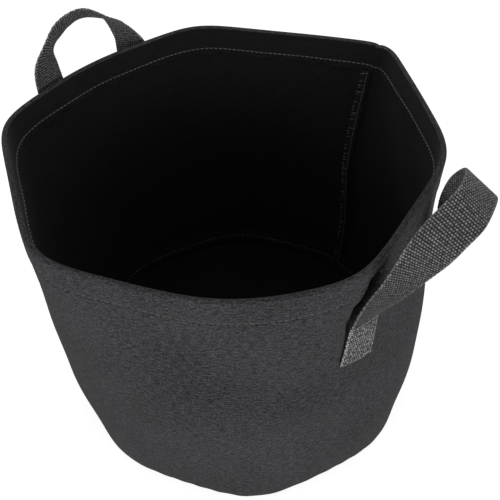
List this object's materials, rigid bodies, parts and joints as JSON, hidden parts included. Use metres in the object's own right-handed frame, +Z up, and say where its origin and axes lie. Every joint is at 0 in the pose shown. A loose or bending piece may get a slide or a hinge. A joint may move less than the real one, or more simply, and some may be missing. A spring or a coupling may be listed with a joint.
{
  "type": "fabric grow bag",
  "caption": "Round soft planting bag of dark needled felt with a hemmed open mouth, a sewn flat base and looped webbing carrying handles on its sides.",
  "frame": {"origin": "on the ground, in the middle of the flat underside of the base", "axes": "+Z up; +X from the middle of the bag towards the near handle, -X towards the far handle; the side seam is at about +Y"},
  "size_m": [0.3543, 0.3293, 0.2992],
  "materials": {
    "felt": "matt charcoal needled felt with fine lighter fibres lying mostly around the bag",
    "webbing": "woven black webbing with a fine ribbed weave and a soft sheen",
    "sewing_thread": "twisted dark grey sewing thread"
  },
  "bodies": {
    "bag": {"side_wall": "felt", "rim_hem": "felt", "base_panel": "felt", "side_seam": "felt", "base_seam": "felt", "hem_stitching": "sewing_thread", "side_seam_thread": "sewing_thread", "base_seam_thread": "sewing_thread", "near_left_foot": "webbing", "near_right_foot": "webbing", "far_left_foot": "webbing", "far_right_foot": "webbing", "near_left_foot_stitching": "sewing_thread", "near_right_foot_stitching": "sewing_thread", "far_left_foot_stitching": "sewing_thread", "far_right_foot_stitching": "sewing_thread"},
    "near_loop": {"near_handle": "webbing"},
    "far_loop": {"far_handle": "webbing"}
  },
  "joints": [
    {"name": "near_handle_swing", "type": "hinge", "parent": "bag", "child": "near_loop", "pos_m": [0.1325, 0.0075, 0.206], "axis": [-0.1145, 0.9934, 0], "range_deg": [-5, 116]},
    {"name": "far_handle_swing", "type": "hinge", "parent": "bag", "child": "far_loop", "pos_m": [-0.1588, 0.00225, 0.206], "axis": [-0.0363, -0.9993, 0], "range_deg": [0, 155]}
  ]
}
